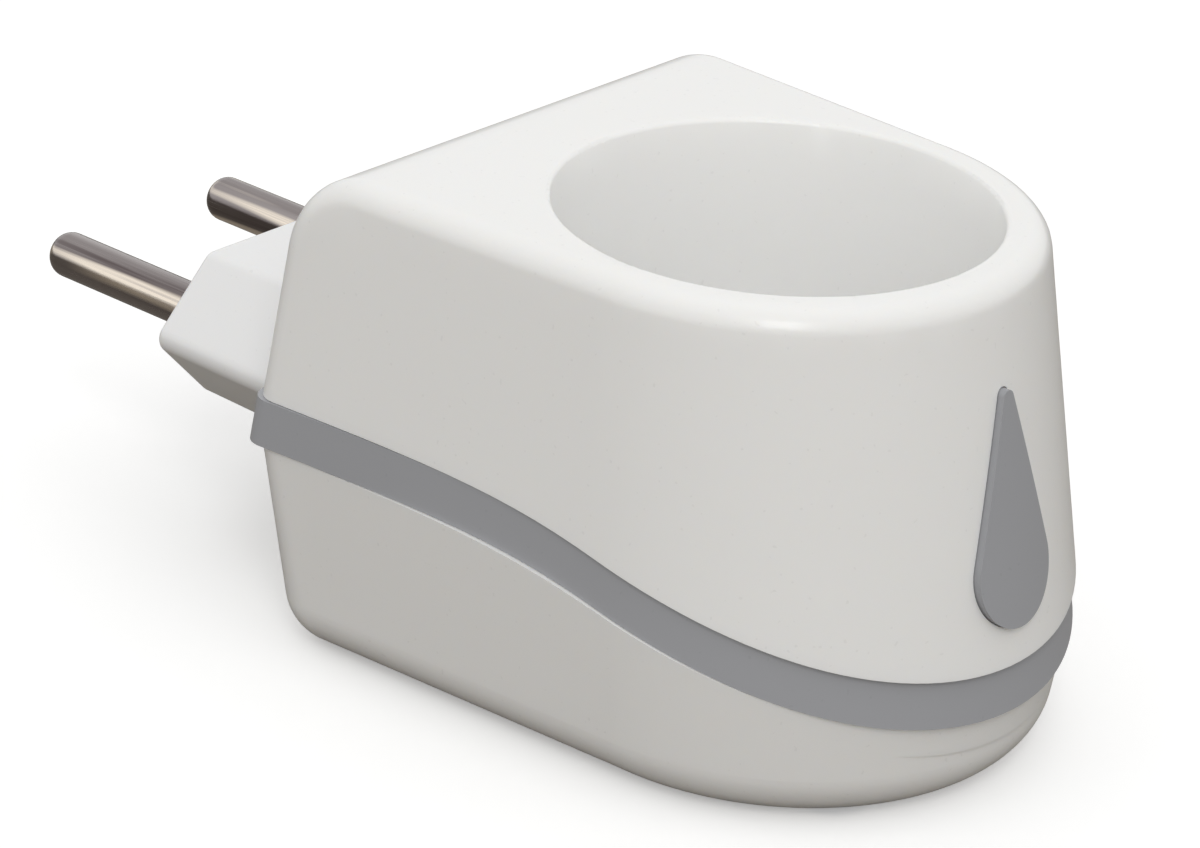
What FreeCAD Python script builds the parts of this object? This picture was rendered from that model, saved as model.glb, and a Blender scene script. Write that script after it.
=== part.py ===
import FreeCAD, Part
import math
import os
import Sketcher
from FreeCAD import Vector

# A wax melt warmer that hangs on a wall socket. X is to the right seen from the front, the nose
# of the housing points to -Y, the two pins point to +Y and Z is up. The origin is the point
# midway between the pins on the end face of the plug.

doc = FreeCAD.newDocument("WaxMeltWarmer")
sheet = doc.addObject("Spreadsheet::Sheet", "Sizes")

SIZES = [
    # housing outline, seen from above, at the height of the top face
    ("plug_reach", 20.8, "end face of the plug to the back wall"),
    ("top_height", 24.05, "top face above the axis of the pins"),
    ("base_depth", 18.15, "bottom face below the axis of the pins"),
    ("back_half_width", 22.9, "half of the width at the back wall"),
    ("nose_radius", 21.3, "round nose"),
    ("nose_distance", 30.8, "back wall to the centre of the nose"),
    ("side_slope", 5.4, "degrees, sides and nose widen downwards"),
    ("back_slope", 4.9, "degrees, back wall"),
    ("nose_slope", 5.2, "degrees, further lean of the nose"),
    ("back_top_radius", 7.8, "large round between the back wall and the top face"),
    ("edge_radius", 2.2, "round of the edges of the upper housing"),
    ("wall", 1.8, "thickness of both housings"),
    # wavy band between the housings
    ("band_back_height", 4.05, "upper edge of the band at the back, above the pins"),
    ("band_fall", 10.1, "fall of the band from the back to the nose"),
    ("band_height", 4.0, "height of the band"),
    ("band_thickness", 2.1, "band, across the wall"),
    ("band_proud", 0.25, "band stands out at the back"),
    ("band_inset", 0.3, "band stands back at the nose"),
    ("band_gap", 0.06, "seam beside the band"),
    ("band_corner", 2.0, "upright corners of the band"),
    ("wave_length", 57.6, "length over which the wavy edge is laid out, from the back wall"),
    # lower housing
    ("girdle_flare", 0.68, "sides, beyond the upper form at the level of the band"),
    ("girdle_back_flare", 0.4, "back wall, beyond the upper form at the level of the band"),
    ("base_back", 1.0, "back wall at the bottom, beyond the one at the top"),
    ("girdle_nose_flare", 1.5, "nose radius, beyond the upper form at the level of the band"),
    ("girdle_nose_lead", 3.1, "front of the nose, beyond the upper form at the level of the band"),
    ("base_draw", 0.15, "sides of the bottom, drawn in from the top face"),
    ("base_nose_lead", 4.2, "nose of the bottom, in front of the one of the top face"),
    ("girdle_corner", 2.8, "upright corners at the level of the band"),
    ("base_corner", 5.2, "upright corners at the bottom"),
    ("base_edge_radius", 5.0, "round of the bottom edge"),
    ("lip_thickness", 1.0, "lip of the lower housing inside the upper one"),
    ("lip_rise", 2.0, "lip above the upper edge of the band"),
    ("lip_root", 3.0, "lip below the lower edge of the band"),
    ("lip_gap", 0.1, "lip to the wall of the upper housing"),
    ("lip_corner", 1.0, "upright corners of the lip"),
    ("post_play", 0.3, "lip to the front posts"),
    # wax cup in the upper housing
    ("cup_margin", 3.4, "nose to the mouth of the wax cup"),
    ("cup_taper", 1.8, "wax cup, mouth to lower end"),
    ("cup_wall", 1.5, "wall of the wax cup"),
    ("cup_end_height", 3.0, "lower end of the cup wall, above the pins"),
    ("rim_radius", 0.4, "round of the mouth"),
    # heated dish that closes the cup
    ("dish_floor", 1.5, "floor of the dish"),
    ("dish_flange_reach", 1.2, "flange of the dish, beyond the lower end of the cup"),
    ("dish_flange", 1.0, "thickness of the flange"),
    ("dish_wall", 1.0, "upstand of the dish"),
    ("dish_rise", 3.2, "upstand above the flange"),
    ("dish_play", 0.3, "upstand to the cup wall"),
    ("dish_round", 1.2, "inner round of the dish"),
    ("seal_height", 1.0, "pressed height of the seal"),
    ("seal_width", 1.2, "seal, across"),
    # heater stack
    ("film_radius", 11.0, "insulating film"),
    ("film_thickness", 0.3, "insulating film"),
    ("electrode_length", 17.0, "electrode plates, along X"),
    ("upper_electrode_width", 13.4, "upper electrode, along Y"),
    ("lower_electrode_width", 11.0, "lower electrode, along Y"),
    ("electrode_sheet", 0.4, "sheet of the electrodes and their tags"),
    ("tag_width", 3.0, "tags of the electrodes"),
    ("tag_side", 4.5, "tags to the middle plane"),
    ("pellet_length", 16.0, "ceramic heating pellet, along X"),
    ("pellet_width", 11.0, "ceramic heating pellet, along Y"),
    ("pellet_thickness", 2.2, "ceramic heating pellet"),
    ("pellet_chamfer", 0.3, "edges of the pellet"),
    ("pad_thickness", 1.0, "mica pad below the heater"),
    ("pad_length", 18.0, "mica pad, along X"),
    ("pad_width", 10.6, "mica pad, along Y"),
    ("spring_height", 2.4, "bowed leaf spring"),
    ("spring_sheet", 0.4, "leaf spring"),
    ("spring_width", 8.0, "leaf spring, along Y"),
    ("spring_length", 18.0, "leaf spring, along X"),
    # carrier under the dish
    ("carrier_floor", 2.0, "floor of the carrier"),
    ("carrier_wall", 1.8, "wall of the carrier"),
    ("carrier_corner", 1.0, "outer edge of the carrier's floor"),
    ("slot_play", 0.4, "slots round the tags"),
    ("tag_reach", 1.6, "tags below the carrier"),
    ("ear_radius", 2.9, "screw ears of the carrier"),
    ("ear_thickness", 2.0, "screw ears of the carrier"),
    ("ear_neck", 4.6, "width of the ears where they leave the wall"),
    # posts and screws
    ("ring_margin", 1.1, "nose to the ring of posts round the cup"),
    ("carrier_post_radius", 2.4, "posts for the carrier"),
    ("housing_post_radius", 2.6, "posts for the lower housing"),
    ("front_post_angle", 30.0, "degrees from the nose to the front posts"),
    ("back_post_side", 14.8, "back posts to the middle plane"),
    ("back_post_inset", 8.0, "back posts to the back wall"),
    ("joint_depth", 9.0, "where the posts and bosses meet, below the pins"),
    ("boss_radius", 3.8, "screw bosses of the lower housing"),
    ("sink_radius", 2.7, "sunk holes for the screw heads"),
    ("sink_seat_depth", 12.5, "seats of the housing screws, below the pins"),
    ("screw_radius", 1.3, "shank of every screw"),
    ("screw_head_radius", 2.3, "head of every screw"),
    ("screw_head_height", 1.6, "head of every screw"),
    ("screw_head_round", 0.5, "edge of every screw head"),
    ("screw_recess", 0.8, "drive recess, depth"),
    ("screw_recess_radius", 0.9, "drive recess"),
    ("screw_play", 0.05, "shank in its post"),
    ("pass_play", 0.25, "shank in its clearance hole"),
    ("housing_screw_length", 10.0, "shank of the housing screws"),
    ("carrier_screw_length", 8.0, "shank of the carrier screws"),
    # plug
    ("plug_half_width", 17.1, "hexagonal plug, along X"),
    ("plug_half_height", 6.4, "hexagonal plug, along Z"),
    ("plug_flat_half", 10.8, "flat of the hexagon"),
    ("plug_slope", 1.2, "degrees, the plug widens towards the housing"),
    ("plug_edge", 1.4, "long edges of the plug"),
    ("plug_end_edge", 0.7, "edges of the end face"),
    ("plug_play", 0.2, "plug in the housings"),
    ("flange_margin", 2.2, "flange of the plug, round the plug"),
    ("flange_thickness", 2.0, "flange of the plug"),
    ("flange_step", 1.5, "flange behind the back wall"),
    ("rib_thickness", 1.6, "ribs behind the flange"),
    ("rib_half_width", 13.0, "ribs behind the flange"),
    ("rib_clearance", 4.2, "ribs to the axis of the pins"),
    # pins and their sleeves
    ("pin_radius", 2.0, "contact pin"),
    ("pin_length", 19.0, "contact pin, outside the plug"),
    ("pin_spacing", 19.2, "axis to axis"),
    ("pin_tip_round", 1.5, "tip of the pin"),
    ("pin_groove_radius", 1.7, "groove of the pin at the end face"),
    ("pin_groove", 1.2, "groove of the pin, length"),
    ("pin_play", 0.05, "pin in the plug"),
    ("stub_radius", 1.4, "inner end of the pin"),
    ("stub_length", 4.0, "inner end of the pin"),
    ("sleeve_wall", 0.5, "crimp sleeve"),
    ("sleeve_play", 0.1, "crimp sleeve on the stub"),
    ("sleeve_length", 6.5, "crimp sleeve"),
    # leads and thermal fuse
    ("lead_radius", 0.8, "insulated leads"),
    ("lead_start", 3.5, "leads, first run from the sleeves"),
    ("left_lead_depth", 11.8, "left lead, below the pins"),
    ("right_lead_depth", 12.6, "right lead and fuse, below the pins"),
    ("fuse_start", 7.0, "first run of the right lead to the fuse"),
    ("fuse_radius", 1.8, "thermal fuse"),
    ("fuse_length", 10.0, "thermal fuse"),
    ("fuse_neck", 1.0, "cone at each end of the fuse"),
    ("fuse_sleeve_wall", 0.5, "glass fibre sleeve over the fuse"),
    ("fuse_sleeve_play", 0.1, "glass fibre sleeve over the fuse"),
    ("return_run", 4.0, "lead from the fuse, before it turns back"),
    # raised drop on the nose
    ("drop_height", 1.5, "middle of the drop, above the pins"),
    ("drop_radius", 4.4, "round end of the drop"),
    ("drop_point", 14.5, "point of the drop above the middle of its round end"),
    ("drop_tip_radius", 0.6, "tip of the drop"),
    ("drop_proud", 0.6, "drop above the surface"),
    ("drop_sunk", 0.4, "drop below the surface"),
    ("drop_play", 0.1, "drop in its pocket"),
    # one overrun serves every cut
    ("overrun", 2.0, "cutters run past the faces that they cut"),
]

for row, (name, value, note) in enumerate(SIZES, start=1):
    sheet.set(f"A{row}", name)
    sheet.set(f"B{row}", str(value))
    sheet.setAlias(f"B{row}", name)
    sheet.set(f"C{row}", note)
doc.recompute()

# where the wavy edge passes, as shares of the length from the back wall to the nose, and how far
# it has fallen there, as shares of its whole fall
WAVE_SHARES = ((-0.12, 0.0), (0.0, 0.0), (0.24, 0.0), (0.48, 0.096), (0.72, 0.43), (0.96, 0.915), (1.12, 1.22))
# radius of a bend as a share of the shorter of its two runs
BEND_SHARE = 0.45


class Term:
    """A size worked out from the sheet, kept as a number and as a formula for binding."""

    def __init__(self, value, text):
        self.value = float(value)
        self.text = text

    def joined(self, other, sign, value):
        return Term(value, f"({self.text} {sign} {other.text})")

    def __add__(self, other):
        other = term(other)
        return self.joined(other, "+", self.value + other.value)

    def __sub__(self, other):
        other = term(other)
        return self.joined(other, "-", self.value - other.value)

    def __mul__(self, other):
        other = term(other)
        return self.joined(other, "*", self.value * other.value)

    def __truediv__(self, other):
        other = term(other)
        return self.joined(other, "/", self.value / other.value)

    def __neg__(self):
        return Term(-self.value, f"(-1 * {self.text})")


def term(thing):
    """A term from a term, a number or the name of a cell."""
    if isinstance(thing, Term):
        return thing
    if isinstance(thing, str):
        return Term(sheet.get(thing), f"Sizes.{thing}")
    return Term(thing, repr(thing))


def size(name):
    """The number in a cell of the sheet."""
    return float(sheet.get(name))


def rise(name):
    """The run per length of a slope given in degrees."""
    return math.tan(math.radians(size(name)))


def bind(thing, **formulas):
    """Bind properties to terms. A double underscore in a name stands for a dot."""
    for name, formula in formulas.items():
        thing.setExpression(name.replace("__", "."), term(formula).text)
    return thing


# levels and places that several pieces share
BACK = -term("plug_reach")
CUP_Y = BACK - term("nose_distance")
CUP_RADIUS = term("nose_radius") - term("cup_margin")
CUP_FOOT = CUP_RADIUS - term("cup_taper")
FLANGE_RADIUS = CUP_FOOT + term("dish_flange_reach")
RING_RADIUS = term("nose_radius") - term("ring_margin")
FLANGE_TOP = term("cup_end_height") - term("seal_height")
FLANGE_FOOT = FLANGE_TOP - term("dish_flange")
DISH_FOOT = FLANGE_TOP - term("dish_floor")
FILM_FOOT = DISH_FOOT - term("film_thickness")
HOT_FOOT = FILM_FOOT - term("electrode_sheet")
PELLET_FOOT = HOT_FOOT - term("pellet_thickness")
COLD_FOOT = PELLET_FOOT - term("electrode_sheet")
PAD_FOOT = COLD_FOOT - term("pad_thickness")
CARRIER_TOP = PAD_FOOT - term("spring_height")
CARRIER_FOOT = CARRIER_TOP - term("carrier_floor")
TAG_FOOT = CARRIER_FOOT - term("tag_reach")
EAR_FOOT = CARRIER_FOOT + term("ear_thickness") / 2
EAR_TOP = EAR_FOOT + term("ear_thickness")
FLANGE_FACE = BACK - term("flange_step")
FLANGE_BACK = FLANGE_FACE - term("flange_thickness")
STUB_END = FLANGE_BACK - term("stub_length")
SLEEVE_END = FLANGE_BACK - term("sleeve_length")
PIN_SIDE = term("pin_spacing") / 2
UPPER_TAG_Y = CUP_Y + term("upper_electrode_width") / 2
LOWER_TAG_Y = CUP_Y + term("lower_electrode_width") / 2


def feature(name, shape):
    """A piece whose form no sketch or primitive gives."""
    piece = doc.addObject("Part::Feature", name)
    piece.Label = name
    piece.Shape = shape
    return piece


def tool(kind, name, **formulas):
    return bind(doc.addObject(kind, name), **formulas)


def cylinder(name, radius, height, x=0, y=0, z=0):
    return tool("Part::Cylinder", name, Radius=radius, Height=height, Placement__Base__x=x,
                Placement__Base__y=y, Placement__Base__z=z)


def box(name, length, width, height, x=0, y=0, z=0):
    """A box centred on x and y that stands on z."""
    return tool("Part::Box", name, Length=length, Width=width, Height=height,
                Placement__Base__x=term(x) - term(length) / 2, Placement__Base__y=term(y) - term(width) / 2,
                Placement__Base__z=z)


def cut(name, base, piece):
    made = doc.addObject("Part::Cut", name)
    made.Base, made.Tool = base, piece
    return made


def fused(name, pieces):
    made = doc.addObject("Part::MultiFuse", name)
    made.Shapes = pieces
    return made


def origin_plane(body, role):
    return [thing for thing in body.Origin.OriginFeatures if thing.Role == role][0]


def profile(body, name, role, corners):
    """A closed outline whose corners are terms, held by one pair of distances each."""
    sketch = body.newObject("Sketcher::SketchObject", name)
    sketch.AttachmentSupport = (origin_plane(body, role), "")
    sketch.MapMode = "FlatFace"
    points = [(term(a), term(b)) for a, b in corners]
    ends = points[1:] + points[:1]
    for here, there in zip(points, ends):
        start = Vector(here[0].value, here[1].value, 0)
        end = Vector(there[0].value, there[1].value, 0)
        sketch.addGeometry(Part.LineSegment(start, end), False)
    for index in range(len(points)):
        follower = (index + 1) % len(points)
        sketch.addConstraint(Sketcher.Constraint("Coincident", index, 2, follower, 1))
    for index, (across, along) in enumerate(points):
        for kind, axis, place in (("DistanceX", -2, across), ("DistanceY", -1, along)):
            if place.value == 0:
                sketch.addConstraint(Sketcher.Constraint("PointOnObject", index, 1, axis))
                continue
            ends_of = (-1, 1, index, 1) if place.value > 0 else (index, 1, -1, 1)
            measure = place if place.value > 0 else -place
            number = sketch.addConstraint(Sketcher.Constraint(kind, *ends_of, measure.value))
            sketch.setExpression(f"Constraints[{number}]", measure.text)
    return sketch


def revolved(name, role, axis, corners):
    """A turned body: its outline is revolved about an axis of its sketch."""
    body = doc.addObject("PartDesign::Body", name)
    body.Label = name
    sketch = profile(body, name + "_outline", role, corners)
    turned = body.newObject("PartDesign::Revolution", name + "_turned")
    turned.Profile = sketch
    turned.ReferenceAxis = (sketch, [axis])
    turned.Angle = 360
    return body


def padded(name, role, corners, length, both_ways=False):
    """A body with one outline padded to a length."""
    body = doc.addObject("PartDesign::Body", name)
    body.Label = name
    sketch = profile(body, name + "_outline", role, corners)
    pad = body.newObject("PartDesign::Pad", name + "_pad")
    pad.Profile = sketch
    pad.Midplane = both_ways
    bind(pad, Length=length)
    return body


def rounded_edges(body, name, kind, amount, chosen):
    """Round or chamfer the edges of a body's tip that a test chooses."""
    doc.recompute()
    tip = body.Tip
    names = [f"Edge{n}" for n, edge in enumerate(tip.Shape.Edges, start=1) if chosen(edge)]
    made = body.newObject(kind, name)
    made.Base = (tip, names)
    if kind.endswith("Fillet"):
        return bind(made, Radius=amount)
    return bind(made, Size=amount)


def near(one, other):
    """Two places of the same height or reach."""
    return abs(one - other) < size("overrun") / 1000


# The forms of the two housings


def wall_at(height, inset=0.0, proud=0.0):
    """Half width, back and nose of the upper form at a height, drawn in by an inset."""
    depth = size("top_height") - height
    spread = depth * rise("side_slope")
    half_width = size("back_half_width") + spread - inset + proud
    back = BACK.value + depth * rise("back_slope") - inset + proud
    radius = size("nose_radius") + spread - inset
    centre = CUP_Y.value - depth * rise("nose_slope")
    return half_width, back, radius, centre


def outline(half_width, back, radius, centre, height):
    """A straight back, two sides and the nose arc that they run into."""
    reach = math.hypot(half_width, back - centre)
    turn = math.atan2(back - centre, half_width) - math.acos(radius / reach)
    touch = Vector(radius * math.cos(turn), centre + radius * math.sin(turn), height)
    opposite = Vector(-touch.x, touch.y, height)
    left = Vector(-half_width, back, height)
    right = Vector(half_width, back, height)
    nose = Part.Arc(touch, Vector(0, centre - radius, height), opposite).toShape()
    return Part.Wire([Part.makeLine(left, right), Part.makeLine(right, touch), nose, Part.makeLine(opposite, left)])


def cornered_outline(half_width, back, corner, radius, front, height):
    """The same outline with round back corners and a nose that starts at a front."""
    centre = front + radius
    hub = Vector(half_width - corner, back - corner, height)
    reach = math.hypot(hub.x, hub.y - centre)
    turn = math.atan2(hub.y - centre, hub.x) - math.acos((radius - corner) / reach)
    side = Vector(math.cos(turn), math.sin(turn), 0)
    leave = hub + side * corner
    touch = Vector(0, centre, height) + side * radius
    middle = (math.pi / 2 + turn) / 2
    bend = hub + Vector(math.cos(middle), math.sin(middle), 0) * corner
    top = Vector(hub.x, back, height)

    def mirrored(point):
        return Vector(-point.x, point.y, point.z)

    nose = Part.Arc(touch, Vector(0, front, height), mirrored(touch)).toShape()
    edges = [
        Part.makeLine(mirrored(top), top),
        Part.Arc(top, bend, leave).toShape(),
        Part.makeLine(leave, touch),
        nose,
        Part.makeLine(mirrored(touch), mirrored(leave)),
        Part.Arc(mirrored(leave), mirrored(bend), mirrored(top)).toShape(),
    ]
    return Part.Wire(edges)


FORM_FOOT = size("band_back_height") - size("band_fall") - size("band_height") - 2 * size("lip_root")


def upper_form(inset=0.0):
    """The whole upper form, down past the band, with its round edges."""
    top = size("top_height") - inset
    wires = [outline(*wall_at(height, inset), height) for height in (FORM_FOOT, top)]
    solid = Part.makeLoft(wires, True, True)
    back_edge = [edge for edge in solid.Edges if near(edge.CenterOfMass.z, top) and near(edge.CenterOfMass.x, 0)
                 and edge.CenterOfMass.y > CUP_Y.value]
    solid = solid.makeFillet(size("back_top_radius") - inset, back_edge)
    radius = size("edge_radius") - inset
    chain = []
    for edge in solid.Edges:
        middle = edge.CenterOfMass
        on_nose = near(middle.z, top) and middle.y < CUP_Y.value
        on_side = abs(middle.x) > size("back_half_width") / 2 and middle.y > CUP_Y.value + size("edge_radius")
        if on_nose or (on_side and not near(middle.z, FORM_FOOT)):
            chain.append(edge)
    return solid.makeFillet(radius, chain)


def plain_ring(outer, inner, corner):
    """A drafted ring between two outlines, with round upright corners. Each is wall_at's four."""
    solids = []
    for settings, radius in ((outer, corner), (inner, corner / 2)):
        wires = [outline(*wall(height), height) for wall, height in settings]
        solid = Part.makeLoft(wires, True, True)
        upright = [edge for edge in solid.Edges if abs(edge.CenterOfMass.x) > size("back_half_width") / 2
                   and near(edge.CenterOfMass.z, (FORM_FOOT + size("top_height")) / 2)
                   and edge.CenterOfMass.y > CUP_Y.value + size("edge_radius")]
        solids.append(solid.makeFillet(radius, upright))
    return solids[0].cut(solids[1])


def ring_between(outer_inset, inner_inset, corner, proud=0.0, nose_inset=0.0):
    """A ring of the upper form from one inset to another."""
    levels = (FORM_FOOT, size("top_height"))

    def outer(height):
        half_width, back, radius, centre = wall_at(height, outer_inset, proud)
        return half_width, back, radius - nose_inset, centre + nose_inset

    def inner(height):
        return wall_at(height, inner_inset)

    return plain_ring([(outer, level) for level in levels], [(inner, level) for level in levels], corner)


def below_wave(lift=0.0):
    """Everything below the wavy upper edge of the band, lifted by an amount."""
    length = size("wave_length")
    start = size("band_back_height") + lift
    points = [Vector(0, BACK.value - share * length, start - fall * size("band_fall")) for share, fall in WAVE_SHARES]
    curve = Part.BSplineCurve()
    curve.interpolate(points)
    floor = -size("base_depth") - size("overrun")
    low = [Vector(0, points[-1].y, floor), Vector(0, points[0].y, floor)]
    sides = [Part.makeLine(points[-1], low[0]), Part.makeLine(low[0], low[1]), Part.makeLine(low[1], points[0])]
    face = Part.Face(Part.Wire([curve.toShape()] + sides))
    reach = size("back_half_width") + size("nose_radius")
    face.translate(Vector(-reach, 0, 0))
    return face.extrude(Vector(2 * reach, 0, 0))


def lower_form(inset=0.0):
    """The tub below the band, from the bottom face up to the level of the band."""
    half_width, back, radius, centre = wall_at(size("band_back_height"), inset)
    girdle = cornered_outline(half_width + size("girdle_flare"), back + size("girdle_back_flare"),
                              size("girdle_corner") - inset, radius + size("girdle_nose_flare"),
                              centre - radius - size("girdle_nose_lead"), size("band_back_height"))
    foot = -size("base_depth") + inset
    half_width, back, radius, centre = wall_at(size("top_height"), inset + size("base_draw"))
    base = cornered_outline(half_width, BACK.value + size("base_back") - inset, size("base_corner") - inset,
                            radius, centre - radius - size("base_nose_lead"), foot)
    solid = Part.makeLoft([base, girdle], True, True)
    bottom = [edge for edge in solid.Edges if near(edge.BoundBox.ZMax, foot)]
    return solid.makeFillet(size("base_edge_radius") - inset, bottom)


def hexagon(y, grow=0.0):
    """The outline of the plug at a place along Y, grown by an amount."""
    spread = -y * rise("plug_slope") + grow
    across = size("plug_half_width") + spread
    up = size("plug_half_height") + spread
    flat = size("plug_flat_half") + spread / 2
    corners = [(across, 0), (flat, up), (-flat, up), (-across, 0), (-flat, -up), (flat, -up), (across, 0)]
    return Part.makePolygon([Vector(x, y, z) for x, z in corners])


def hexagon_solid(start, end, grow=0.0, edge=0.0):
    """A stretch of the plug's form with round long edges."""
    solid = Part.makeLoft([hexagon(start, grow), hexagon(end, grow)], True, True)
    if edge > 0:
        long_edges = [item for item in solid.Edges if near(item.CenterOfMass.y, (start + end) / 2)]
        solid = solid.makeFillet(edge, long_edges)
    return solid


def standing(radius, foot, top, x, y):
    """An upright cylinder between two heights."""
    return Part.makeCylinder(radius, top - foot, Vector(x, y, foot))


def ring_place(degrees):
    """A place on the ring of posts, by its angle about the cup from +X."""
    angle = math.radians(degrees)
    return RING_RADIUS.value * math.cos(angle), CUP_Y.value + RING_RADIUS.value * math.sin(angle)


# the three carrier posts, as angles about the cup from +X
CARRIER_ANGLES = (-90, 30, 150)
CARRIER_PLACES = [ring_place(angle) for angle in CARRIER_ANGLES]
FRONT_PLACES = [ring_place(CARRIER_ANGLES[0] + sign * size("front_post_angle")) for sign in (-1, 1)]
BACK_PLACES = [(sign * size("back_post_side"), BACK.value - size("back_post_inset")) for sign in (-1, 1)]
HOUSING_PLACES = FRONT_PLACES + BACK_PLACES


def plug_opening():
    """The hole that both housings, the band and the lip leave for the plug and its flange."""
    play = size("plug_play")
    over = size("overrun")
    throat = hexagon_solid(BACK.value + over * 2, FLANGE_FACE.value - over, play, size("plug_edge"))
    seat = hexagon_solid(FLANGE_FACE.value + play, FLANGE_BACK.value - play,
                         size("flange_margin") + play, size("plug_edge"))
    return throat.fuse(seat)


def drop_prism(grow=0.0):
    """An upright drop, cut along Y through the nose."""
    round_radius = size("drop_radius") + grow
    tip_radius = size("drop_tip_radius") + grow
    reach = size("drop_point") - size("drop_tip_radius")
    turn = math.asin((round_radius - tip_radius) / reach)
    low = Vector(0, 0, size("drop_height"))
    high = Vector(0, 0, size("drop_height") + reach)
    side = Vector(math.cos(turn), 0, math.sin(turn))
    other = Vector(-side.x, 0, side.z)
    down = Vector(0, 0, -1)
    outer = Part.Arc(low + side * round_radius, low + down * round_radius, low + other * round_radius).toShape()
    inner = Part.Arc(high + other * tip_radius, high - down * tip_radius, high + side * tip_radius).toShape()
    left = Part.makeLine(low + other * round_radius, high + other * tip_radius)
    right = Part.makeLine(high + side * tip_radius, low + side * round_radius)
    face = Part.Face(Part.Wire([outer, left, inner, right]))
    face.translate(Vector(0, CUP_Y.value, 0))
    return face.extrude(Vector(0, -2 * size("nose_radius"), 0))


def upper_housing():
    """The white upper shell with the wall of the wax cup moulded in."""
    over = size("overrun")
    top = size("top_height")
    outer = upper_form()
    shell = outer.cut(upper_form(size("wall"))).cut(below_wave())
    cup_y = CUP_Y.value
    end = size("cup_end_height")
    lean = (CUP_RADIUS.value - CUP_FOOT.value) / (top - end)
    thick = size("cup_wall")
    tube = Part.makeCone(CUP_FOOT.value + thick, CUP_RADIUS.value + thick, top - end,
                         Vector(0, cup_y, end))
    posts = [standing(size("carrier_post_radius"), EAR_TOP.value, top, x, y) for x, y in CARRIER_PLACES]
    posts += [standing(size("housing_post_radius"), -size("joint_depth"), top, x, y) for x, y in HOUSING_PLACES]
    rib_front = FLANGE_BACK.value - size("plug_play") - size("rib_thickness")
    rib = Part.makeBox(2 * size("rib_half_width"), size("rib_thickness"), top - size("rib_clearance"),
                       Vector(-size("rib_half_width"), rib_front, size("rib_clearance")))
    inside = outer.common(tube.fuse(posts + [rib]))
    housing = shell.fuse(inside)
    # the mouth of the cup has a small round edge
    low = end - over
    edge = size("rim_radius")
    mouth = CUP_RADIUS.value
    points = [Vector(0, 0, low), Vector(CUP_FOOT.value - over * lean, 0, low),
              Vector(mouth - edge * lean, 0, top - edge), Vector(mouth + edge, 0, top),
              Vector(mouth + edge, 0, top + over), Vector(0, 0, top + over)]
    bulge = Vector(mouth + edge * (1 - math.sqrt(0.5)), 0, top - edge * (1 - math.sqrt(0.5)))
    edges = [Part.makeLine(points[0], points[1]), Part.makeLine(points[1], points[2]),
             Part.Arc(points[2], bulge, points[3]).toShape(), Part.makeLine(points[3], points[4]),
             Part.makeLine(points[4], points[5]), Part.makeLine(points[5], points[0])]
    bore = Part.Face(Part.Wire(edges)).revolve(Vector(), Vector(0, 0, 1), 360)
    bore.translate(Vector(0, cup_y, 0))
    holes = []
    pilot = size("screw_radius") + size("screw_play")
    for x, y in CARRIER_PLACES:
        holes.append(standing(pilot, EAR_TOP.value - over, EAR_FOOT.value + size("carrier_screw_length") + over, x, y))
    for x, y in HOUSING_PLACES:
        reach = size("housing_screw_length") - size("sink_seat_depth") + over
        holes.append(standing(pilot, -size("joint_depth") - over, reach, x, y))
    pocket = drop_prism(size("drop_play")).cut(upper_form(size("drop_sunk") + size("drop_play")))
    return housing.cut([bore, plug_opening(), pocket] + holes)


def lower_housing():
    """The tub with its lip, its four screw bosses and the rib behind the plug."""
    over = size("overrun")
    outer = lower_form()
    shell = outer.cut(lower_form(size("wall"))).common(below_wave(-size("band_height")))
    gap = size("wall") + size("lip_gap")
    lip = ring_between(gap, gap + size("lip_thickness"), size("lip_corner"))
    lip = lip.common(below_wave(size("lip_rise")))
    post = size("housing_post_radius") + size("post_play")
    posts = [standing(post, -size("joint_depth"), size("top_height"), x, y) for x, y in FRONT_PLACES]
    lip = lip.cut(posts + [below_wave(-size("band_height") - size("lip_root"))])
    floor = -size("base_depth") + size("wall") / 2
    inner = lower_form(size("wall") / 2)
    bosses = [standing(size("boss_radius"), floor, -size("joint_depth"), x, y) for x, y in HOUSING_PLACES]
    rib_front = FLANGE_BACK.value - size("plug_play") - size("rib_thickness")
    rib = Part.makeBox(2 * size("rib_half_width"), size("rib_thickness"), -size("rib_clearance") - floor,
                       Vector(-size("rib_half_width"), rib_front, floor))
    inside = inner.common(bosses[0].fuse(bosses[1:] + [rib]))
    tub = shell.fuse([inside, lip])
    cutters = [plug_opening()]
    for x, y in HOUSING_PLACES:
        cutters.append(standing(size("sink_radius"), -size("base_depth") - over, -size("sink_seat_depth"), x, y))
        passage = size("screw_radius") + size("pass_play")
        cutters.append(standing(passage, -size("base_depth"), -size("joint_depth") + over, x, y))
    return tub.cut(cutters)


def band():
    """The soft grey band, open where the plug passes."""
    ring = ring_between(0.0, size("band_thickness") - size("band_proud"), size("band_corner"),
                        size("band_proud"), size("band_inset"))
    gap = size("band_gap")
    ring = ring.common(below_wave(-gap)).cut(below_wave(gap - size("band_height")))
    return ring.cut(plug_opening())


def drop():
    """The plain raised drop, seated in its pocket."""
    solid = upper_form(-size("drop_proud")).cut(upper_form(size("drop_sunk")))
    return solid.common(drop_prism())


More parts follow.
